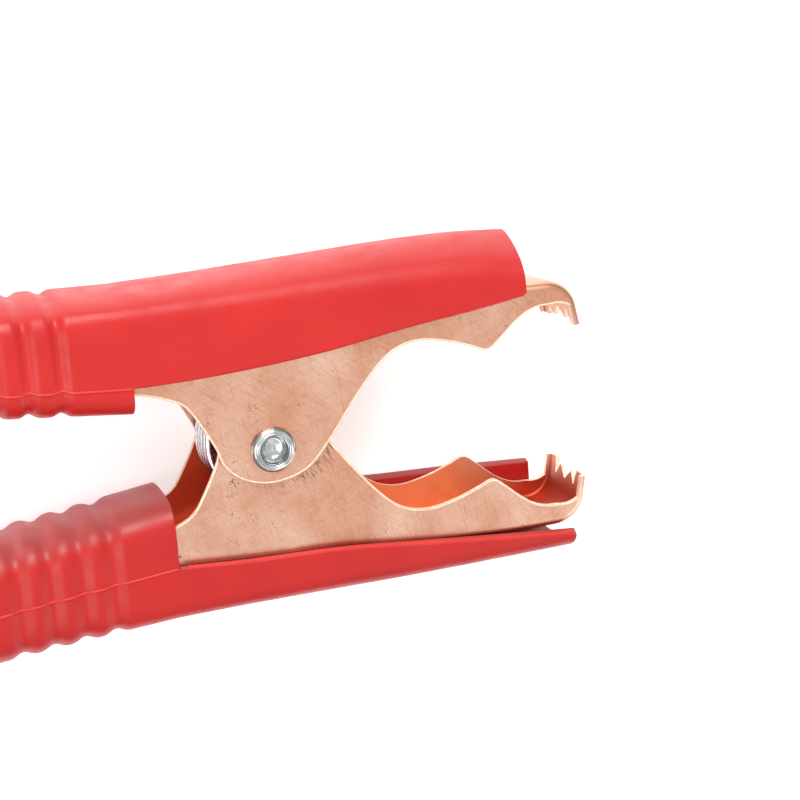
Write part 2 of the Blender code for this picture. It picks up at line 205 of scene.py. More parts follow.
# %% Copper plate
def copper_plate(name, rub_marks_and_shadow):
    mat, tree, shader = new_finish(name, 1.0, 0.3)
    place = add_node(tree, "ShaderNodeTexCoord", {}, {}).outputs["Object"]
    patches = add_node(tree, "ShaderNodeTexNoise", {},
                       {"Vector": place, "Scale": 0.09 * PER_MM, "Detail": 4.0}).outputs["Fac"]
    tone = two_tones(tree, patches, "#D79E82", "#EBC3AC", 0.35, 0.68)
    first = scratches(tree, place, 38, 0.13 * MM, 4.2 * MM)
    second = scratches(tree, place, -21, 0.11 * MM, 3.1 * MM)
    third = scratches(tree, place, 79, 0.12 * MM, 3.6 * MM)
    pair = add_node(tree, "ShaderNodeMath", {"operation": "MAXIMUM"}, {0: first, 1: second}).outputs[0]
    crossed = add_node(tree, "ShaderNodeMath", {"operation": "MAXIMUM"}, {0: pair, 1: third}).outputs[0]
    lines = add_node(tree, "ShaderNodeMapRange", {},
                     {"Value": crossed, "From Min": 0.55, "From Max": 0.72}).outputs[0]
    brushed = add_node(tree, "ShaderNodeMix", {"data_type": "RGBA", "blend_type": "MULTIPLY"}, {"Factor": lines})
    tree.links.new(tone, brushed.inputs[6])
    brushed.inputs[7].default_value = to_linear("#DDC2B6")
    specks = add_node(tree, "ShaderNodeTexNoise", {},
                      {"Vector": place, "Scale": 2.6 * PER_MM, "Detail": 2.0}).outputs["Fac"]
    thin = add_node(tree, "ShaderNodeTexNoise", {},
                    {"Vector": place, "Scale": 0.21 * PER_MM, "Detail": 3.0}).outputs["Fac"]
    worn = add_node(tree, "ShaderNodeMath", {"operation": "MULTIPLY"}, {0: specks, 1: thin}).outputs[0]
    specks_rubs_and_shadow = add_node(tree, "ShaderNodeMapRange", {}, {"Value": worn, "From Min": 0.4, "From Max": 0.49}).outputs[0]
    # the lower jaw's copy darkens a ring beside the ear: rub marks and a painted shadow
    if rub_marks_and_shadow:
        specks_rubs_and_shadow = add_node(tree, "ShaderNodeMath", {"operation": "MAXIMUM"},
                        {0: specks_rubs_and_shadow, 1: rub_marks_and_painted_shadow_beside_ear(tree, place)}).outputs[0]
    spotted = add_node(tree, "ShaderNodeMix", {"data_type": "RGBA"}, {"Factor": specks_rubs_and_shadow})
    tree.links.new(brushed.outputs[2], spotted.inputs[6])
    spotted.inputs[7].default_value = to_linear("#7C5242")
    tree.links.new(spotted.outputs[2], shader.inputs["Base Color"])
    rough = add_node(tree, "ShaderNodeMapRange", {}, {"Value": lines, "To Min": 0.3, "To Max": 0.44}).outputs[0]
    tree.links.new(rough, shader.inputs["Roughness"])
    dents = add_node(tree, "ShaderNodeTexNoise", {},
                     {"Vector": place, "Scale": 0.26 * PER_MM, "Detail": 3.0}).outputs["Fac"]
    height = add_node(tree, "ShaderNodeMath", {"operation": "MULTIPLY_ADD"},
                      {0: crossed, 1: 0.25, 2: dents}).outputs[0]
    bump = add_node(tree, "ShaderNodeBump", {}, {"Height": height, "Strength": 0.25, "Distance": 0.12 * MM})
    tree.links.new(bump.outputs["Normal"], shader.inputs["Normal"])
    return mat


copper = copper_plate("copper_plated_steel_rolled", False)
# the lower jaw's faces, with rub marks and a painted shadow beside the ear
rubbed_copper_painted_shadow = copper_plate("copper_plated_steel_rubbed_painted_shadow", True)
print("finishes:", copper.name, rubbed_copper_painted_shadow.name)

# %% [markdown]
# ### The sheared edge
# The press cuts through plating and steel, and the cut is polished by tumbling. Its pale cream
# colour and low metallic value are partly painted highlight: they keep the edge a bright line
# from every side, as an edge that catches the light looks. It is dragged in fine steps under
# 1 mm long.

# %% Sheared edge
def sheared_edge_painted_highlight():
    mat, tree, shader = new_finish("copper_plated_edge_sheared_painted_highlight", 0.25, 0.4)
    place = add_node(tree, "ShaderNodeTexCoord", {}, {}).outputs["Object"]
    drag = add_node(tree, "ShaderNodeTexNoise", {},
                    {"Vector": place, "Scale": 1.2 * PER_MM, "Detail": 3.0}).outputs["Fac"]
    # pale cream: the cut's own paleness, pushed up as a painted highlight
    tree.links.new(two_tones(tree, drag, "#E6BD9E", "#F9E2CB", 0.3, 0.7), shader.inputs["Base Color"])
    bump = add_node(tree, "ShaderNodeBump", {}, {"Height": drag, "Strength": 0.3, "Distance": 0.1 * MM})
    tree.links.new(bump.outputs["Normal"], shader.inputs["Normal"])
    return mat


edge_copper_painted_highlight = sheared_edge_painted_highlight()
print("finish:", edge_copper_painted_highlight.name)

# %% [markdown]
# ### The inside of the channel
# Inside the channel the plating is never rubbed. Its orange in the middle is brighter and
# less metallic than the outer faces, which paints in the light bounced between the walls. At
# the nose and behind the rivet it turns red, a painted reflection of the red boots, with a
# brighter red behind the rivet. Only the tips of the teeth are polished by use. The zones
# follow the length of the jaw, and the patches blur their borders.

# %% Inner copper
def inner_copper():
    mat, tree, shader = new_finish("copper_plated_steel_unrubbed_painted_light", 0.75, 0.42)
    place = add_node(tree, "ShaderNodeTexCoord", {}, {}).outputs["Object"]
    patches = add_node(tree, "ShaderNodeTexNoise", {},
                       {"Vector": place, "Scale": 0.12 * PER_MM, "Detail": 4.0}).outputs["Fac"]
    # orange brighter than the outer copper: painted light bounced inside the channel
    orange = two_tones(tree, patches, "#EE9460", "#FFB588", 0.35, 0.68)
    zones = add_node(tree, "ShaderNodeSeparateXYZ", {}, {"Vector": place})
    front = add_node(tree, "ShaderNodeMapRange", {},
                     {"Value": zones.outputs["X"], "From Min": 34 * MM, "From Max": 48 * MM}).outputs[0]
    rear = add_node(tree, "ShaderNodeMapRange", {},
                    {"Value": zones.outputs["X"], "From Min": 12 * MM, "From Max": -6 * MM}).outputs[0]
    red_reflection_zones = add_node(tree, "ShaderNodeMath", {"operation": "MAXIMUM"}, {0: front, 1: rear}).outputs[0]
    blotted = add_node(tree, "ShaderNodeMath", {"operation": "MULTIPLY_ADD"},
                       {0: patches, 1: 0.5, 2: -0.25}).outputs[0]
    amount = add_node(tree, "ShaderNodeMath", {"operation": "ADD", "use_clamp": True},
                      {0: red_reflection_zones, 1: blotted}).outputs[0]
    # red at the nose and behind the rivet: painted reflection of the red boots
    reflected_red = add_node(tree, "ShaderNodeMix", {"data_type": "RGBA"}, {"Factor": amount})
    tree.links.new(orange, reflected_red.inputs[6])
    tree.links.new(two_tones(tree, rear, "#B4462A", "#F5603A", 0.0, 1.0), reflected_red.inputs[7])
    tips = add_node(tree, "ShaderNodeMapRange", {},
                    {"Value": zones.outputs["Y"], "From Min": -17.5 * MM, "From Max": -13.2 * MM}).outputs[0]
    polished = add_node(tree, "ShaderNodeMath", {"operation": "MULTIPLY"}, {0: tips, 1: front}).outputs[0]
    used = add_node(tree, "ShaderNodeMix", {"data_type": "RGBA"}, {"Factor": polished})
    tree.links.new(reflected_red.outputs[2], used.inputs[6])
    used.inputs[7].default_value = to_linear("#DFA08A")
    tree.links.new(used.outputs[2], shader.inputs["Base Color"])
    bump = add_node(tree, "ShaderNodeBump", {}, {"Height": patches, "Strength": 0.2, "Distance": 0.1 * MM})
    tree.links.new(bump.outputs["Normal"], shader.inputs["Normal"])
    return mat


inner_copper_painted_light = inner_copper()
print("finish:", inner_copper_painted_light.name)

# %% [markdown]
# ### Soft vinyl
# The boots are moulded in plasticised PVC, a soft slightly waxy plastic. It has a broad soft
# gloss, and light goes a short way in. A grey-pink painted sheen is mixed into the colour where
# the surface faces +Y, in patches from the cloud noise: it stands in for the light reflected
# on that side. The lower boot's copy is a darker red, painted shade, with a stronger sheen.
# The mould's spark-eroded surface is a grain of about 0.4 mm, and the wall waves a little
# where it shrank in the mould.

# %% Red vinyl
def red_vinyl(name, low, high, painted_sheen):
    mat, tree, shader = new_finish(name, 0.0, 0.42)
    place = add_node(tree, "ShaderNodeTexCoord", {}, {}).outputs["Object"]
    cloud = add_node(tree, "ShaderNodeTexNoise", {},
                     {"Vector": place, "Scale": 0.07 * PER_MM, "Detail": 5.0}).outputs["Fac"]
    body = two_tones(tree, cloud, low, high, 0.3, 0.7)
    # painted sheen: how far the surface faces +Y, the side the light reflects from
    facing = add_node(tree, "ShaderNodeTexCoord", {}, {}).outputs["Normal"]
    upward = add_node(tree, "ShaderNodeSeparateXYZ", {}, {"Vector": facing}).outputs["Y"]
    top = add_node(tree, "ShaderNodeMapRange", {},
                   {"Value": upward, "From Min": 0.25, "From Max": 0.8, "To Max": painted_sheen}).outputs[0]
    sheen_patches = add_node(tree, "ShaderNodeMapRange", {},
                     {"Value": cloud, "From Min": 0.3, "From Max": 0.6, "To Min": 0.55}).outputs[0]
    painted_sheen_amount = add_node(tree, "ShaderNodeMath", {"operation": "MULTIPLY"}, {0: top, 1: sheen_patches}).outputs[0]
    surface = add_node(tree, "ShaderNodeMix", {"data_type": "RGBA"}, {"Factor": painted_sheen_amount})
    tree.links.new(body, surface.inputs[6])
    # grey-pink of the painted sheen
    surface.inputs[7].default_value = to_linear("#945654")
    tree.links.new(surface.outputs[2], shader.inputs["Base Color"])
    handled = add_node(tree, "ShaderNodeTexNoise", {},
                       {"Vector": place, "Scale": 0.24 * PER_MM, "Detail": 4.0}).outputs["Fac"]
    rough = add_node(tree, "ShaderNodeMapRange", {}, {"Value": handled, "From Min": 0.3, "From Max": 0.7,
                                                       "To Min": 0.34, "To Max": 0.52}).outputs[0]
    tree.links.new(rough, shader.inputs["Roughness"])
    grain = add_node(tree, "ShaderNodeTexNoise", {},
                     {"Vector": place, "Scale": 2.4 * PER_MM, "Detail": 2.0}).outputs["Fac"]
    wavy = add_node(tree, "ShaderNodeTexNoise", {},
                    {"Vector": place, "Scale": 0.13 * PER_MM, "Detail": 1.0}).outputs["Fac"]
    height = add_node(tree, "ShaderNodeMath", {"operation": "MULTIPLY_ADD"},
                      {0: wavy, 1: 2.0, 2: grain}).outputs[0]
    bump = add_node(tree, "ShaderNodeBump", {}, {"Height": height, "Strength": 0.12, "Distance": 0.2 * MM})
    tree.links.new(bump.outputs["Normal"], shader.inputs["Normal"])
    shader.inputs["Specular IOR Level"].default_value = 0.4
    shader.inputs["Subsurface Weight"].default_value = 0.06
    shader.inputs["Subsurface Radius"].default_value = (1.0, 0.25, 0.15)
    shader.inputs["Subsurface Scale"].default_value = 0.8 * MM
    return mat


# the upper boot gets a faint painted sheen; the lower boot's copy is darker, a painted shade, with a strong painted
# sheen
vinyl = red_vinyl("soft_pvc_moulded_red", "#B01512", "#BA1B16", 0.12)
shaded_sheened_vinyl = red_vinyl("soft_pvc_red_painted_shade_and_sheen", "#A8110E", "#B21610", 0.62)
flash_vinyl = red_vinyl("soft_pvc_flash_red", "#C3241C", "#CC3026", 0.0)
print("finishes:", vinyl.name, shaded_sheened_vinyl.name, flash_vinyl.name)

# %% [markdown]
# ### Bright steel
# The rivet and the terminal's screw are nickel-plated and tumbled, so they are bright with
# soft unevenness. The spring is drawn wire, with faint lines from the die.

# %% Plated steel and spring wire
def bright_steel(name, low, high, roughness, lumps):
    mat, tree, shader = new_finish(name, 1.0, roughness)
    place = add_node(tree, "ShaderNodeTexCoord", {}, {}).outputs["Object"]
    tumbled = add_node(tree, "ShaderNodeTexNoise", {},
                       {"Vector": place, "Scale": lumps * PER_MM, "Detail": 3.0}).outputs["Fac"]
    tree.links.new(two_tones(tree, tumbled, low, high, 0.35, 0.65), shader.inputs["Base Color"])
    bump = add_node(tree, "ShaderNodeBump", {}, {"Height": tumbled, "Strength": 0.2, "Distance": 0.1 * MM})
    tree.links.new(bump.outputs["Normal"], shader.inputs["Normal"])
    return mat


plated = bright_steel("nickel_plated_steel_tumbled", "#A9ABAC", "#DADCDB", 0.17, 0.5)
wire_steel = bright_steel("spring_steel_drawn", "#BDBEC1", "#E6E6E8", 0.24, 1.6)
print("finishes:", plated.name, wire_steel.name)

# %% [markdown]
# ## Shapes from stations
# A stamped channel and a moulded boot are both long shapes whose section changes along their
# length. Each is written as a short table of stations, and a smooth curve is drawn through
# every column of the table. This keeps the outline fair without hundreds of hand-set points.

# %% Helpers for shapes
def fair(rows, steps):
    """Rows of numbers with steps - 1 new rows between every two, on a Catmull-Rom curve."""
    out = []
    for i in range(len(rows) - 1):
        a, b, c, d = rows[max(i - 1, 0)], rows[i], rows[i + 1], rows[min(i + 2, len(rows) - 1)]
        for k in range(steps):
            t = k / steps
            out.append([0.5 * (2 * q + (r - p) * t + (2 * p - 5 * q + 4 * r - s) * t * t
                               + (3 * q - p - 3 * r + s) * t ** 3) for p, q, r, s in zip(a, b, c, d)])
    return out + [list(rows[-1])]


def mix(a, b, share):
    return a + (b - a) * share


def here(x, y, z):
    """From mm about the rivet's axis, with Z up from the table, to the frame's metres."""
    return (pivot.x + x * MM, pivot.y + y * MM, z * MM)


def new_mesh(name, points, faces, finishes):
    mesh = bpy.data.meshes.new(name)
    mesh.from_pydata([here(*p) for p in points], [], faces)
    bm = bmesh.new()
    bm.from_mesh(mesh)
    bmesh.ops.recalc_face_normals(bm, faces=bm.faces)
    bm.to_mesh(mesh)
    bm.free()
    for finish in finishes:
        mesh.materials.append(finish)
    obj = bpy.data.objects.new(name, mesh)
    bpy.context.scene.collection.objects.link(obj)
    return obj


def settle(obj, sharp=38):
    """Turns an object and its modifiers into one plain mesh, smooth but for its sharp edges."""
    done = bpy.data.meshes.new_from_object(obj.evaluated_get(bpy.context.evaluated_depsgraph_get()))
    done.name = obj.name
    obj.modifiers.clear()
    obj.data = done
    done.shade_smooth()
    done.set_sharp_from_angle(angle=math.radians(sharp))
    return obj


def keep(obj, body, node):
    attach(obj, body)
    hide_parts(node)
    obj.data.calc_loop_triangles()
    print(obj.name, len(obj.data.loop_triangles), "triangles, rides on", body)


print("here and fair are ready")

# %% [markdown]
# ## The jaws
# Both jaws are one stamping: a channel with a flat back, two side walls that widen into ears
# round the rivet, and a nose rolled inwards to a row of teeth. The upper jaw is that channel;
# the lower one is the same part turned over and shifted by one sheet, so the ears lie inside
# and outside each other. The outer skin is lofted, and its round holes are cut while it is
# still a thin skin. Solidify then gives it the sheet's thickness inwards, which keeps the wall
# even round every bend. The rolled burr along its edges is drawn later.

# %% Sizes of the stamping
SHEET = 0.8
JAW_WIDTH = 16.2
JAW_STEP = 1.1
OPENING = math.radians(13.5)
NOSE_CENTRE = (50.76, 4.17)
NOSE_RADIUS = 5.4
NOSE_TURN = 74.0
NOSE_ROWS = 30
WALL_AT_NOSE = 3.9
BEND_AT_NOSE = 1.6
TOOTH_TIP = (56.0, 0.15)
TOOTH_DEPTH = 2.7
TOOTH_BEND = 1.2
CORNER_REACH = 2.3
CORNER_SLOPE = 0.35
TWIST_FROM = 28.0
TWIST_OVER = 16.0
WEAR = 0.4
EDGE_INSET = 0.17
RIVET_HOLE = 3.0
SCREW_HOLE = 2.3
SCREW_X = -35.5
BACK_AT_SCREW = 22.9
# back x, back y, edge x, edge y, half width, bend radius
STAMPING = [
    (-45.0, 22.9, -45.0, 13.4, 5.5, 1.8), (-42.6, 22.9, -42.6, 13.4, 5.5, 1.8),
    (-40.4, 22.9, -40.4, 14.8, 5.5, 1.8), (-38.0, 22.9, -38.0, 17.2, 5.5, 1.8),
    (-35.0, 22.9, -35.0, 16.2, 5.8, 1.9), (-31.5, 22.9, -31.5, 14.7, 6.3, 2.0),
    (-27.0, 23.2, -27.0, 13.5, 7.4, 2.2), (-21.5, 23.4, -21.8, 12.3, 8.1, 3.0),
    (-16.0, 23.5, -17.2, 10.9, 8.1, 3.0), (-11.5, 23.6, -13.8, 9.1, 8.1, 3.0),
    (-9.0, 23.6, -11.5, 5.7, 8.1, 3.0), (-7.5, 23.6, -9.3, 1.4, 8.1, 3.0),
    (-6.0, 23.6, -8.1, -1.8, 8.1, 3.0), (-4.0, 23.6, -5.0, -4.5, 8.1, 3.0),
    (0.0, 23.6, -0.4, -5.6, 8.1, 3.0), (3.0, 23.5, 4.8, -4.4, 8.1, 3.0),
    (6.0, 23.4, 8.6, -1.0, 8.1, 3.0), (11.0, 23.1, 14.2, 6.3, 8.1, 3.0),
    (15.0, 22.9, 17.4, 10.1, 8.1, 3.0), (18.5, 22.7, 20.2, 12.7, 8.1, 3.0),
    (22.5, 22.5, 23.0, 14.1, 8.1, 3.0), (26.5, 22.3, 26.5, 14.5, 8.1, 2.7),
    (31.0, 22.1, 31.0, 13.6, 8.1, 2.4), (35.0, 21.9, 35.0, 12.2, 8.1, 2.1),
    (37.5, 21.8, 37.5, 11.3, 8.1, 1.9), (40.0, 21.7, 39.6, 12.7, 8.1, 1.8),
    (41.8, 21.62, 42.0, 14.8, 8.1, 1.75), (44.1, 21.51, 44.3, 16.4, 8.1, 1.7),
    (46.4, 21.4, 46.5, 17.25, 8.1, 1.65)]
print("stamping table:", len(STAMPING), "stations")

# %% [markdown]
# ### Sections of the jaw
# Each section is one open U: up one wall, round its bend, across the back and down the other
# wall. All sections have the same number of points, and those across the back sit where the
# teeth need them, so the same lines run from the tail to the tooth tips.

# %% Sections of the jaw
def opened(point):
    """From the closed jaw's own frame to the open one."""
    x, y = point
    return (x * math.cos(OPENING) - y * math.sin(OPENING), x * math.sin(OPENING) + y * math.cos(OPENING))


def nose(count):
    """Stations round the nose: the walls get lower until only the tooth row is left."""
    rows = []
    for i in range(count):
        share = i / (count - 1)
        angle = math.radians(NOSE_TURN * (1 - share))
        out = (math.cos(angle), math.sin(angle))
        depth = mix(WALL_AT_NOSE, TOOTH_BEND + 0.15, share ** 2)
        back = [c + NOSE_RADIUS * o for c, o in zip(NOSE_CENTRE, out)]
        edge = [b - depth * o for b, o in zip(back, out)]
        rows.append([*opened(back), *opened(edge), JAW_WIDTH / 2, mix(BEND_AT_NOSE, TOOTH_BEND, share)])
    return rows


# across the tooth row: place, and how far it reaches past the roots
TEETH = [(5.0, 2.7), (4.8, 2.5), (4.25, 0.15), (4.05, 0.0), (3.85, 0.15), (2.6, 1.8), (2.35, 2.0), (2.1, 1.8),
         (0.25, 0.15), (0.0, 0.0)]
TEETH = TEETH + [(-place, reach) for place, reach in TEETH[-2::-1]]


def skin_row(row, bend_steps):
    """(across, depth) along one section, from one wall's edge over the back to the other's."""
    span, half, bend = math.dist(row[:2], row[2:4]), row[4], row[5]
    wall = [(half, span), (half, bend)]
    for k in range(1, bend_steps + 1):
        angle = math.pi / 2 * k / bend_steps
        wall.append((half - bend + bend * math.cos(angle), bend - bend * math.sin(angle)))
    flat = (half - TOOTH_BEND) / (JAW_WIDTH / 2 - TOOTH_BEND)
    tight = min(1.0, (half - bend) / (4.95 * flat))
    back = [(place * flat * tight, 0.0) for place, reach in TEETH]
    return wall + back + [(-a, d) for a, d in reversed(wall)]


print("points in one section:", len(skin_row(STAMPING[0], 7)))

# %% [markdown]
# ### Round holes
# The skin is still open when its holes are cut, and a Boolean needs closed solids. Each hole
# is cut instead as a ring of short straight cuts, and the faces left inside are removed.

# %% Round holes in a thin skin
def cut_round(bm, centre, radius, along, sides=48):
    """Cuts a round hole in the flat faces of an open skin, one straight cut for each side."""
    middle = Vector(here(*centre))
    axis = 2 if along == "Z" else 1
    inside = [f for f in bm.faces if abs(f.normal[axis]) > 0.95
              and min(v.co.x for v in f.verts) < middle.x + radius * MM
              and max(v.co.x for v in f.verts) > middle.x - radius * MM]
    for k in range(sides):
        angle = 2 * math.pi * k / sides
        c, s = math.cos(angle), math.sin(angle)
        out = Vector((c, s, 0)) if along == "Z" else Vector((c, 0, s))
        spot = middle + out * radius * MM
        parts = list({v for f in inside for v in f.verts} | {e for f in inside for e in f.edges}) + inside
        cut = bmesh.ops.bisect_plane(bm, geom=parts, dist=1e-7, plane_co=spot, plane_no=out)
        inside = [g for g in cut["geom"] if isinstance(g, bmesh.types.BMFace)
                  and (g.calc_center_median() - spot).dot(out) < 0]
    bmesh.ops.delete(bm, geom=inside, context="FACES")


print("holes in a jaw:", 2 * RIVET_HOLE, "and", 2 * SCREW_HOLE, "mm")

# %% [markdown]
# ### Loft of one jaw
# Past the nose a flat strip runs down to the roots of the teeth and on to their tips. The
# upper jaw has been bent in use, so its far side leans a little towards the mouth.

# %% Loft of one jaw
def jaw(name, side, faces_of_sheet, twist, bend_steps=7):
    middle = near_face - JAW_WIDTH / 2 - (JAW_STEP if side < 0 else 0)
    round_nose = nose(NOSE_ROWS)
    rows = fair(STAMPING + round_nose[:1], 6) + round_nose[1:]
    grid = []
    for row in rows:
        span = math.dist(row[:2], row[2:4])
        way = [(e - b) / span for b, e in zip(row[:2], row[2:4])]
        grid.append([(row[0] + way[0] * d, row[1] + way[1] * d, a) for a, d in skin_row(row, bend_steps)])
    base, tip = rows[-1][:2], opened(TOOTH_TIP)
    long = math.dist(base, tip)
    down = [(t - b) / long for b, t in zip(base, tip)]
    count = len(grid[0])
    corner = len(skin_row(rows[-1], bend_steps)) - len(TEETH)
    reach = [CORNER_REACH + CORNER_SLOPE * k / (corner // 2) for k in range(corner // 2)]
    # the corner that twists towards the mouth is worn short, so that the jaws still close
    worn = WEAR * twist
    reach = reach + [r - (worn if place < -4.5 else 0.0) for place, r in TEETH] + [r - worn for r in reach[::-1]]
    last = grid[-1]
    for share in (0.5, 1.0):
        grid.append([(x + down[0] * (long - TOOTH_DEPTH) * share, y + down[1] * (long - TOOTH_DEPTH) * share, a)
                     for x, y, a in last])
    root = grid[-1]
    grid.append([(x + down[0] * r, y + down[1] * r, a) for (x, y, a), r in zip(root, reach)])

    def placed(x, y, a):
        lean = (twist * min(1.0, max(0.0, (x - TWIST_FROM) / TWIST_OVER)) ** 2
                * (JAW_WIDTH / 2 - a) / JAW_WIDTH)
        return (x, side * (y - lean), middle + a)

    points = [placed(*point) for row in grid for point in row]
    rims = []
    for end, inward in ((0, -1), (-1, 1)):
        rim = []
        for row in grid[:len(rows)]:
            (x0, y0, a0), (x1, y1, a1) = row[end], row[end - inward]
            part = EDGE_INSET / max(EDGE_INSET, math.dist((x0, y0), (x1, y1)))
            rim.append(placed(mix(x0, x1, part), mix(y0, y1, part), a0 + inward * EDGE_INSET))
        rims.append(rim)
    faces = [(i * count + j, i * count + j + 1, (i + 1) * count + j + 1, (i + 1) * count + j)
             for i in range(len(grid) - 1) for j in range(count - 1)]
    face, lining = faces_of_sheet
    obj = new_mesh(name, points, faces, [face, edge_copper_painted_highlight, lining])
    # an open skin has no inside, so the normal of one face on the back tells which way it looks
    row_on_the_back = 60
    if obj.data.polygons[(count - 1) * row_on_the_back + count // 2].normal.y * side < 0:
        obj.data.flip_normals()
    bm = bmesh.new()
    bm.from_mesh(obj.data)
    bm.normal_update()
    cut_round(bm, (0, 0, middle), RIVET_HOLE, "Z")
    cut_round(bm, (SCREW_X, side * BACK_AT_SCREW, middle), SCREW_HOLE, "Y")
    bm.to_mesh(obj.data)
    bm.free()
    thick = obj.modifiers.new("sheet", "SOLIDIFY")
    thick.thickness = SHEET * MM
    thick.offset = -1.0
    thick.use_even_offset = True
    thick.material_offset = 2
    thick.material_offset_rim = 1
    return settle(obj), rims


jaw_rims = {}
for name, side, body, sheet_faces, twist in (
        ("upper_jaw", 1, "upper", (copper, copper), 1.2),
        ("lower_jaw", -1, "lower", (rubbed_copper_painted_shadow, inner_copper_painted_light), 0.0)):
    piece, jaw_rims[name, body] = jaw(name + "_stamping", side, sheet_faces, twist)
    keep(piece, body, name)

# %% [markdown]
# ## The boots
# One mould makes both boots: a closed tube at the cable end, ringed with soft ribs for grip,
# that opens into a shroud over the back of the jaw. The section is a rounded box, drawn as a
# superellipse whose power sets how boxy it is, and cut flat where the mould's sides are flat.
# The two halves of the mould leave a thin raised line along the tube.

# %% Sizes of the boots
BOOT_WALL = 1.5
BOOT_ROUND = 1.2
RIB_PITCH = 5.1
RIB_DEPTH = 0.75
CABLE_HOLE = 4.0
END_WALL = 2.0
FLAT_POWER = 3.5
SLANT_FROM = 20.0
SLANT_OVER = 31.0
UPPER_BOOT = {
    "side": 1, "slant": 0.0, "crease": 2.2, "tail": -54.0, "collar": -21.9, "ribs": -33.1, "across": (10.4, 10.4),
    "tube": ((20.4, 9.5), (18.1, 9.9)),
    "shroud": [(-21.9, 18.1, 9.9, 3.0, 13.6, 13.6), (-8.0, 18.1, 10.3, 2.7, 13.9, 13.9),
               (8.5, 18.2, 10.9, 2.4, 15.2, 15.2), (24.0, 18.8, 10.9, 2.15, 17.5, 17.5),
               (35.0, 19.3, 10.5, 1.9, 18.8, 18.8), (44.4, 20.1, 9.2, 1.5, 20.2, 20.2)]}
LOWER_BOOT = {
    "side": -1, "slant": 1.7, "crease": 1.3, "tail": -51.0, "collar": -17.2, "ribs": -27.9, "across": (9.85, 9.85),
    "tube": ((20.4, 10.4), (16.8, 10.4)),
    "shroud": [(-17.2, 16.8, 10.4, 3.0, 17.3, 10.2), (-5.0, 16.7, 10.2, 3.0, 18.1, 11.0),
               (10.0, 16.8, 10.1, 2.8, 18.6, 11.6), (22.0, 16.8, 10.0, 2.8, 19.8, 12.5),
               (35.0, 16.8, 9.7, 2.8, 21.2, 13.0), (51.5, 16.8, 9.4, 2.6, 22.9, 13.9)]}
OVER = 72
UNDER = 36
print("boots:", UPPER_BOOT["shroud"][-1][0] - UPPER_BOOT["tail"], "mm long, wall", BOOT_WALL)

# %% [markdown]
# ### Rings of a boot
# The tube's rings close in to the cable inlet at the tail and follow the ribs along the grip.
# Past the collar each ring is cut open at its near and far edges, which makes the shroud.

# %% Rings of a boot
def section(boot, x, values, wall):
    """One ring of the skin, starting at the far edge, over the back and round underneath."""
    middle, half, power, near, far = values
    centre, reach = boot["across"]

    def angle_at(edge):
        level = max(-1.0, min(1.0, (edge - middle) / half))
        return math.acos(math.copysign(abs(level) ** (power / 2), level))

    start, stop = -angle_at(far), angle_at(near)
    angles = [mix(start, stop, j / OVER) for j in range(OVER + 1)]
    angles += [mix(stop, start + 2 * math.pi, j / UNDER) for j in range(1, UNDER)]
    limit = reach - max(0.0, wall - 0.1)
    ring = []
    for angle in angles:
        c = math.copysign(abs(math.cos(angle)) ** (2 / power), math.cos(angle))
        s = math.copysign(abs(math.sin(angle)) ** (2 / power), math.sin(angle))
        wide = (reach + BOOT_ROUND - wall) * s
        # a soft corner where the round meets the flat side
        flattened = math.tanh((abs(wide) / limit) ** FLAT_POWER * 1.4) ** (1 / FLAT_POWER)
        wide = math.copysign(limit * flattened, wide) if wide else 0.0
        slant = boot["slant"] * max(0.0, (x - SLANT_FROM) / SLANT_OVER) ** 2 * (1 - wide / limit) / 2
        ring.append((x - slant, boot["side"] * (middle + (half - wall) * c), centre + wide))
    return ring


def tube_values(boot, x):
    share = (x - boot["tail"]) / (boot["collar"] - boot["tail"])
    (middle0, half0), (middle1, half1) = boot["tube"]
    middle, half = mix(middle0, middle1, share), mix(half0, half1, share)
    near = middle + (boot["shroud"][0][4] - middle1) / half1 * half
    far = middle + (boot["shroud"][0][5] - middle1) / half1 * half
    return middle, half, mix(2.2, boot["shroud"][0][3], share ** 2), near, far


def rib_drop(boot, x):
    """Depth below the ribs' crowns. A higher crease power gives narrower grooves."""
    along = x - boot["ribs"]
    if not -3.5 * RIB_PITCH < along < RIB_PITCH / 2:
        return 0.0
    return RIB_DEPTH * (0.5 + 0.5 * math.cos(2 * math.pi * along / RIB_PITCH)) ** boot["crease"]


def shrunk(ring, amount, radius=None):
    cy = sum(p[1] for p in ring) / len(ring)
    cz = sum(p[2] for p in ring) / len(ring)
    out = []
    for x, y, z in ring:
        size = math.hypot(y - cy, z - cz)
        part = (radius or size - amount) / size
        out.append((x, cy + (y - cy) * part, cz + (z - cz) * part))
    return out


def boot_skin(boot, wall):
    tail = boot["tail"] + (END_WALL if wall else 0)
    full = section(boot, tail, tube_values(boot, tail), wall)
    rings = [shrunk(full, 0, CABLE_HOLE)]
    for inward, forward in ((1.3, 0.0), (0.7, 0.12), (0.25, 0.4)):
        rings.append([(x + forward, y, z) for x, y, z in shrunk(full, inward)])
    steps = int((boot["collar"] - tail - 0.8) / (0.6 if wall else 0.25))
    for k in range(steps + 1):
        x = mix(tail + 0.8, boot["collar"], k / steps)
        ring = section(boot, x, tube_values(boot, x), wall)
        rings.append(ring if wall else shrunk(ring, rib_drop(boot, x)))
    closed = len(rings)
    for x, *values in fair(boot["shroud"], 12)[1:]:
        rings.append(section(boot, x, values, wall))
    return rings, closed


print("rings of the upper boot:", len(boot_skin(UPPER_BOOT, 0.0)[0]))

# %% [markdown]
# ### Loft of one boot
# The outside and the lining are lofted alike, one wall apart, and strips join them along
# every free edge. A Bevel rounds those edges the way vinyl leaves a mould.

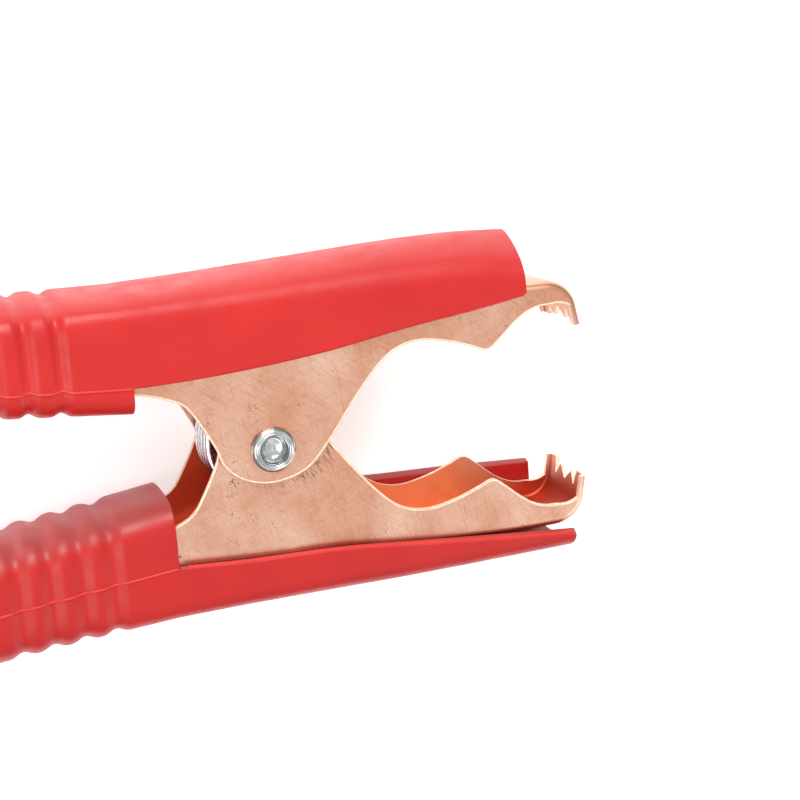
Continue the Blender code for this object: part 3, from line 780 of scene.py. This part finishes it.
# %% Loft of one boot
def boot_piece(name, boot, finish):
    outer, closed_out = boot_skin(boot, 0.0)
    lining, closed_in = boot_skin(boot, BOOT_WALL)
    count = OVER + UNDER
    points = [p for ring in outer + lining for p in ring]
    out = [i * count for i in range(len(outer))]
    inn = [(i + len(outer)) * count for i in range(len(lining))]
    faces = []
    for rows, closed in ((out, closed_out), (inn, closed_in)):
        for i in range(len(rows) - 1):
            for j in range(count if i + 1 < closed else OVER):
                k = (j + 1) % count
                faces.append((rows[i] + j, rows[i] + k, rows[i + 1] + k, rows[i + 1] + j))
    for j in range(count):
        k = (j + 1) % count
        faces.append((out[0] + j, out[0] + k, inn[0] + k, inn[0] + j))
        if j >= OVER:
            faces.append((out[closed_out - 1] + j, out[closed_out - 1] + k,
                          inn[closed_in - 1] + k, inn[closed_in - 1] + j))
    for i in range(len(out) - closed_out):
        a, b = out[closed_out - 1 + i], out[closed_out + i]
        c, d = inn[closed_in - 1 + i], inn[closed_in + i]
        faces += [(a, b, d, c), (a + OVER, b + OVER, d + OVER, c + OVER)]
    for j in range(OVER):
        faces.append((out[-1] + j, out[-1] + j + 1, inn[-1] + j + 1, inn[-1] + j))
    used = sorted({i for face in faces for i in face})
    place = {old: new for new, old in enumerate(used)}
    obj = new_mesh(name, [points[i] for i in used], [tuple(place[i] for i in f) for f in faces], [finish])
    lip = obj.modifiers.new("moulded_lip", "BEVEL")
    lip.width = 0.4 * MM
    lip.segments = 3
    lip.limit_method = "ANGLE"
    lip.angle_limit = math.radians(65)
    lip.miter_outer = "MITER_ARC"
    settle(obj, 45)
    return obj


for name, boot, body, finish in (("upper_boot", UPPER_BOOT, "upper", vinyl),
                                 ("lower_boot", LOWER_BOOT, "lower", shaded_sheened_vinyl)):
    keep(boot_piece(name + "_moulding", boot, finish), body, name)

# %% [markdown]
# ## Wire and mould lines
# The spring and the mould lines are both a round section drawn along a path. A small Geometry
# Nodes tree does it: the path is a plain chain of edges, Mesh to Curve makes it a curve, and
# Curve to Mesh draws the section along it. The tree has named inputs for its radius and sides.

# %% Tree that draws a round section along a path
def drawn_wire_tree():
    tree = bpy.data.node_groups.new("Round section along a path", "GeometryNodeTree")
    tree.interface.new_socket("Geometry", in_out="INPUT", socket_type="NodeSocketGeometry")
    tree.interface.new_socket("Radius", in_out="INPUT", socket_type="NodeSocketFloat")
    tree.interface.new_socket("Sides", in_out="INPUT", socket_type="NodeSocketInt")
    tree.interface.new_socket("Finish", in_out="INPUT", socket_type="NodeSocketMaterial")
    tree.interface.new_socket("Geometry", in_out="OUTPUT", socket_type="NodeSocketGeometry")
    start = add_node(tree, "NodeGroupInput", {}, {})
    path = add_node(tree, "GeometryNodeMeshToCurve", {}, {"Mesh": start.outputs["Geometry"]})
    ring = add_node(tree, "GeometryNodeCurvePrimitiveCircle", {}, {"Radius": start.outputs["Radius"],
                                                                   "Resolution": start.outputs["Sides"]})
    swept = add_node(tree, "GeometryNodeCurveToMesh", {}, {"Curve": path.outputs["Curve"],
                                                           "Profile Curve": ring.outputs["Curve"],
                                                           "Fill Caps": True})
    real = add_node(tree, "GeometryNodeRealizeInstances", {}, {"Geometry": swept.outputs["Mesh"]})
    done = add_node(tree, "GeometryNodeSetMaterial", {}, {"Geometry": real.outputs["Geometry"],
                                                          "Material": start.outputs["Finish"]})
    add_node(tree, "NodeGroupOutput", {}, {"Geometry": done.outputs["Geometry"]})
    return tree


wire_tree = drawn_wire_tree()


def drawn(name, path, radius, sides, finish):
    mesh = bpy.data.meshes.new(name)
    mesh.from_pydata([here(*p) for p in path], [(i, i + 1) for i in range(len(path) - 1)], [])
    obj = bpy.data.objects.new(name, mesh)
    bpy.context.scene.collection.objects.link(obj)
    made = obj.modifiers.new("wire", "NODES")
    made.node_group = wire_tree
    names = {item.name: item.identifier for item in wire_tree.interface.items_tree if item.in_out == "INPUT"}
    made[names["Radius"]] = radius * MM
    made[names["Sides"]] = sides
    made[names["Finish"]] = finish
    settle(obj, 60)
    bm = bmesh.new()
    bm.from_mesh(obj.data)
    bmesh.ops.remove_doubles(bm, verts=bm.verts, dist=1e-6)
    bmesh.ops.recalc_face_normals(bm, faces=bm.faces)
    bm.to_mesh(obj.data)
    bm.free()
    return obj


print("tree:", wire_tree.name, "with", len(wire_tree.nodes), "nodes")

# %% [markdown]
# ### The torsion spring
# A little over four turns of 1.8 mm wire start beside the far ear, and the last one stands off
# towards the near one. Each end runs back as a straight leg inside a jaw. On the real clip one
# leg turns with each jaw when it moves, and the coil twists between them. Here the wire is
# drawn once, in this pose, and rides on neither jaw.

# %% Spring
WIRE = 0.9
COIL_RADIUS = 9.1
COIL_PITCH = 1.9
COIL_TURNS = 4
COIL_GAP = 1.2
spring_low = near_face - JAW_WIDTH + SHEET + 0.3 + WIRE + 0.1


def spring_path():
    leave = math.radians(58)
    start, stop = -leave, leave + 2 * math.pi * COIL_TURNS
    count = int((stop - start) / (2 * math.pi) * 60)
    path = []
    for i in range(count + 1):
        share = i / count
        angle = start + (stop - start) * share
        rise = COIL_PITCH * (stop - start) / (2 * math.pi) * share
        late = max(0.0, share - 1 + 1 / (COIL_TURNS + 0.3)) * (COIL_TURNS + 0.3)
        rise += COIL_GAP * late * late * (3 - 2 * late)
        path.append((COIL_RADIUS * math.cos(angle), COIL_RADIUS * math.sin(angle), spring_low + rise))
    first, final = path[0], path[-1]
    legs_in = fair([(-23.0, -21.6, spring_low), (-16.0, -17.2, spring_low), (-6.0, -12.6, spring_low), first], 10)
    legs_out = fair([final, (-6.0, 12.6, final[2]), (-16.0, 17.2, final[2]), (-23.0, 21.6, final[2])], 10)
    return legs_in[:-1] + path + legs_out[1:]


wound = spring_path()
print("wire length", round(sum(math.dist(a, b) for a, b in zip(wound, wound[1:]))), "mm")
spring = drawn("torsion_spring_wire", wound, WIRE, 24, wire_steel)
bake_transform(spring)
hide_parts("torsion_spring")
print(spring.name, len(spring.data.polygons), "faces, twists from lower to upper")

# %% [markdown]
# ### The mould lines
# Where the two halves of a mould meet, a thin line of vinyl stands about a tenth of a
# millimetre proud. It runs round the closed tube at the level of the shroud's near edge, in
# and out over the ribs, and stops at the collar where the shroud opens. A fuller bead runs on
# along the shroud's near edge.

# %% Mould lines
SEAM_RADIUS = 0.24
LIP_RADIUS = 0.34

for name, boot, body in (("upper_boot", UPPER_BOOT, "upper"), ("lower_boot", LOWER_BOOT, "lower")):
    line = []
    for k in range(181):
        x = mix(boot["tail"] + 1.2, boot["collar"] - 0.3, k / 180)
        ring = shrunk(section(boot, x, tube_values(boot, x), 0.0), rib_drop(boot, x) + 0.05)
        line.append(ring[OVER])
    seam = drawn(name + "_mould_line", line, SEAM_RADIUS, 10, flash_vinyl)
    lip = []
    for x, *values in fair(boot["shroud"], 12)[2:-1]:
        middle, half, power, near, far = values
        lip.append(section(boot, x, (middle, half - 0.3, power, near, far), 0.5)[OVER])
    bead = drawn(name + "_lip_bead", lip, LIP_RADIUS, 12, flash_vinyl)
    for piece in (seam, bead):
        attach(piece, body)
        print(piece.name, len(piece.data.polygons), "faces")

# %% [markdown]
# ### The sheared edges
# The press leaves a rolled burr along the edges of the side walls, drawn with the same tree
# along the edges of the two lofts. It takes the pale edge finish, so it shows as a painted
# highlight line.

# %% Sheared edges
BURR_RADIUS = 0.21

for (name, body), rims in jaw_rims.items():
    for which, rim in zip(("near", "far"), rims):
        burr = drawn(name + "_burr_" + which, rim, BURR_RADIUS, 10, edge_copper_painted_highlight)
        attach(burr, body)
        print(burr.name, len(burr.data.polygons), "faces")

# %% [markdown]
# ## The rivet
# A semi-tubular rivet joins the four ears. Its near end is a low rolled head round a deep
# bore, with one fine crease where the punch stopped, and its far end is a plain flat head.
# It is a solid of revolution: a profile turned about the axis, with its corners rounded.

# %% Rivet
def turned(name, profile, steps, finishes, place=None):
    """A closed solid from (radius, height) pairs that begin and end on the axis."""
    rings = profile[1:-1]
    points = [(0, 0, profile[0][1])]
    for radius, z in rings:
        points += [(radius * math.cos(2 * math.pi * k / steps), radius * math.sin(2 * math.pi * k / steps), z)
                   for k in range(steps)]
    points.append((0, 0, profile[-1][1]))
    faces = []
    for k in range(steps):
        n = (k + 1) % steps
        faces.append((0, 1 + k, 1 + n))
        for i in range(len(rings) - 1):
            a, b = 1 + i * steps, 1 + (i + 1) * steps
            faces.append((a + k, a + n, b + n, b + k))
        last = 1 + (len(rings) - 1) * steps
        faces.append((len(points) - 1, last + n, last + k))
    return new_mesh(name, [place(*p) for p in points] if place else points, faces, finishes)


def rounded(profile, radius, steps=4):
    """The profile with every corner between its ends rounded."""
    out = [profile[0]]
    for a, b, c in zip(profile, profile[1:], profile[2:]):
        before, after = math.dist(a, b), math.dist(b, c)
        r = min(radius, before * 0.45, after * 0.45)
        p = [q + (s - q) * r / before for q, s in zip(b, a)]
        n = [q + (s - q) * r / after for q, s in zip(b, c)]
        for k in range(steps + 1):
            t = k / steps
            out.append(tuple((1 - t) ** 2 * u + 2 * t * (1 - t) * v + t * t * w for u, v, w in zip(p, b, n)))
    return out + [profile[-1]]


HEAD_RADIUS = 3.72
SHANK_RADIUS = 2.7
TAIL_RADIUS = 4.0
seat = near_face + 0.2
crown = seat + 0.9
far_side = near_face - JAW_STEP - JAW_WIDTH - 0.2
rivet_profile = rounded([
    (0, crown - 2.3), (0.8, crown - 2.5), (1.75, crown - 2.1), (2.3, crown - 1.3), (2.35, crown - 0.3),
    (2.6, crown), (2.85, crown), (2.93, crown - 0.1), (3.01, crown), (3.25, crown - 0.03),
    (HEAD_RADIUS, crown - 0.45), (HEAD_RADIUS, seat), (SHANK_RADIUS, seat), (SHANK_RADIUS, far_side),
    (TAIL_RADIUS, far_side), (TAIL_RADIUS, far_side - 0.35),
    (3.4, far_side - 0.9), (0, far_side - 1.0)], 0.2)
rivet = turned("pivot_rivet_semi_tubular", rivet_profile, 96, [plated])
settle(rivet, 40)
keep(rivet, "lower", "pivot_rivet")

# %% [markdown]
# ## The terminal
# Inside the lower handle a short screw clamps the lead's wire against the jaw's back. It has a
# slotted pan head, a lock washer outside the jaw and a hexagon nut. They show only from
# the handle's open end and through the gap by the spring.

# %% Screw, lock washer and nut
terminal_middle = near_face - JAW_STEP - JAW_WIDTH / 2
back_outside = -BACK_AT_SCREW
back_inside = back_outside + SHEET


def on_terminal(x, y, z):
    """Stands a piece turned about Z on the screw's line, its height along +Y."""
    return (SCREW_X + x, z, terminal_middle + y)


head = back_inside + 0.25
screw_profile = rounded([(0, head + 2.4), (2.2, head + 2.4), (3.4, head + 1.6), (3.6, head + 0.9), (3.6, head),
                         (1.95, head), (1.95, head - 4.2), (1.55, head - 4.6), (0, head - 4.6)], 0.25)
screw = turned("terminal_screw_slotted", screw_profile, 64, [plated], on_terminal)
blade = bmesh.new()
bmesh.ops.create_cube(blade, size=1.0)
bmesh.ops.transform(blade, verts=blade.verts, matrix=Matrix.Translation(here(*on_terminal(0, 0, head + 2.4)))
                    @ Matrix.Diagonal((9 * MM, 2 * MM, 0.9 * MM, 1)))
blade_mesh = bpy.data.meshes.new("slot")
blade.to_mesh(blade_mesh)
blade.free()
slot_cutter = bpy.data.objects.new("slot", blade_mesh)
bpy.context.scene.collection.objects.link(slot_cutter)
cut = screw.modifiers.new("slot", "BOOLEAN")
cut.operation = "DIFFERENCE"
cut.solver = "EXACT"
cut.object = slot_cutter
settle(screw)
bpy.data.objects.remove(slot_cutter, do_unlink=True)
keep(screw, "lower", "terminal_screw")


def ring_piece(name, top, thick, radius, bore, hexagon):
    """A washer, or a nut whose corners are turned off round a hexagon."""
    steps = 96
    rows = []
    edge = 0.18 if hexagon else 0.1
    for y, out in ((top, False), (top, True), (top - edge, True), (top - thick + edge, True),
                   (top - thick, True), (top - thick, False)):
        ring = []
        for k in range(steps):
            angle = 2 * math.pi * k / steps
            r = bore
            if out:
                r = radius
                if hexagon:
                    r = radius * math.cos(math.pi / 6) / math.cos(angle % (math.pi / 3) - math.pi / 6)
                if y in (top, top - thick):
                    r = min(r, radius * 0.92) if hexagon else r - edge
            ring.append(on_terminal(r * math.cos(angle), r * math.sin(angle), y))
        rows.append(ring)
    points = [p for ring in rows for p in ring]
    faces = []
    for i in range(len(rows)):
        a, b = i * steps, ((i + 1) % len(rows)) * steps
        faces += [(a + k, a + (k + 1) % steps, b + (k + 1) % steps, b + k) for k in range(steps)]
    return settle(new_mesh(name, points, faces, [plated]), 30)


washer = ring_piece("terminal_lock_washer_plate", back_outside - 0.25, 0.9, 3.4, 2.25, False)
keep(washer, "lower", "terminal_lock_washer")
nut = ring_piece("terminal_nut_hexagon", back_outside - 1.4, 2.2, 4.0, 2.25, True)
keep(nut, "lower", "terminal_nut")

# %% [markdown]
# ## Table and light
# The table is plain and nearly white. Broad soft panels light the clip. One beyond the upper
# jaw gives the boots their pale crest, and one over the handles fills the near faces. Two
# weaker ones, beside the nose and overhead, soften the shade. A bright pale room gives the
# copper and the rivet something to reflect.

# %% Table
TABLE_HALF = 1.5
TABLE_TOP = -0.0003
table_mesh = bpy.data.meshes.new("table")
table_mesh.from_pydata([(-TABLE_HALF, -TABLE_HALF, TABLE_TOP), (TABLE_HALF, -TABLE_HALF, TABLE_TOP),
                        (TABLE_HALF, TABLE_HALF, TABLE_TOP), (-TABLE_HALF, TABLE_HALF, TABLE_TOP)],
                       [], [(0, 1, 2, 3)])
paper, paper_tree, paper_shader = new_finish("white_card_table", 0.0, 0.8)
paper_place = add_node(paper_tree, "ShaderNodeTexCoord", {}, {}).outputs["Object"]
fibre = add_node(paper_tree, "ShaderNodeTexNoise", {}, {"Vector": paper_place, "Scale": 0.4 * PER_MM, "Detail": 2.0})
paper_tree.links.new(two_tones(paper_tree, fibre.outputs["Fac"], "#FAFAFA", "#FDFDFD", 0.3, 0.7),
                     paper_shader.inputs["Base Color"])
paper_shader.inputs["Emission Color"].default_value = (1.0, 1.0, 1.0, 1.0)
paper_shader.inputs["Emission Strength"].default_value = 0.4
table_mesh.materials.append(paper)
table = bpy.data.objects.new("table", table_mesh)
bpy.context.scene.collection.objects.link(table)
print("table under the clip at", table_mesh.vertices[0].co.z / MM, "mm")

# %% Light
room = bpy.data.worlds.new("pale_room")
room.use_nodes = True
sky = room.node_tree.nodes["Background"]
direction = add_node(room.node_tree, "ShaderNodeTexCoord", {}, {}).outputs["Generated"]
height = add_node(room.node_tree, "ShaderNodeSeparateXYZ", {}, {"Vector": direction}).outputs["Z"]
room.node_tree.links.new(two_tones(room.node_tree, height, "#6E6E72", "#FFFFFF", 0.02, 0.6), sky.inputs["Color"])
sky.inputs["Strength"].default_value = 0.84
bpy.context.scene.world = room


def panel(name, place, target, wide, power):
    light = bpy.data.lights.new(name, "AREA")
    light.shape = "SQUARE"
    light.size = wide
    light.energy = power
    obj = bpy.data.objects.new(name, light)
    obj.location = place
    obj.rotation_euler = (Vector(target) - Vector(place)).to_track_quat("-Z", "Y").to_euler()
    bpy.context.scene.collection.objects.link(obj)


# name, place, what it faces, width in metres, watts
panel("panel_beyond", (-0.05, 0.5, 0.42), (0, 0, 0.01), 0.4, 4.0)
panel("panel_overhead", (-0.42, -0.12, 0.5), (0, 0, 0.01), 0.4, 1.6)
panel("panel_front", (0.42, -0.34, 0.3), (0.02, -0.01, 0.01), 0.3, 0.6)
panel("panel_soft", (0.2, -0.18, 0.62), (0.01, 0.01, 0.02), 0.5, 0.16)
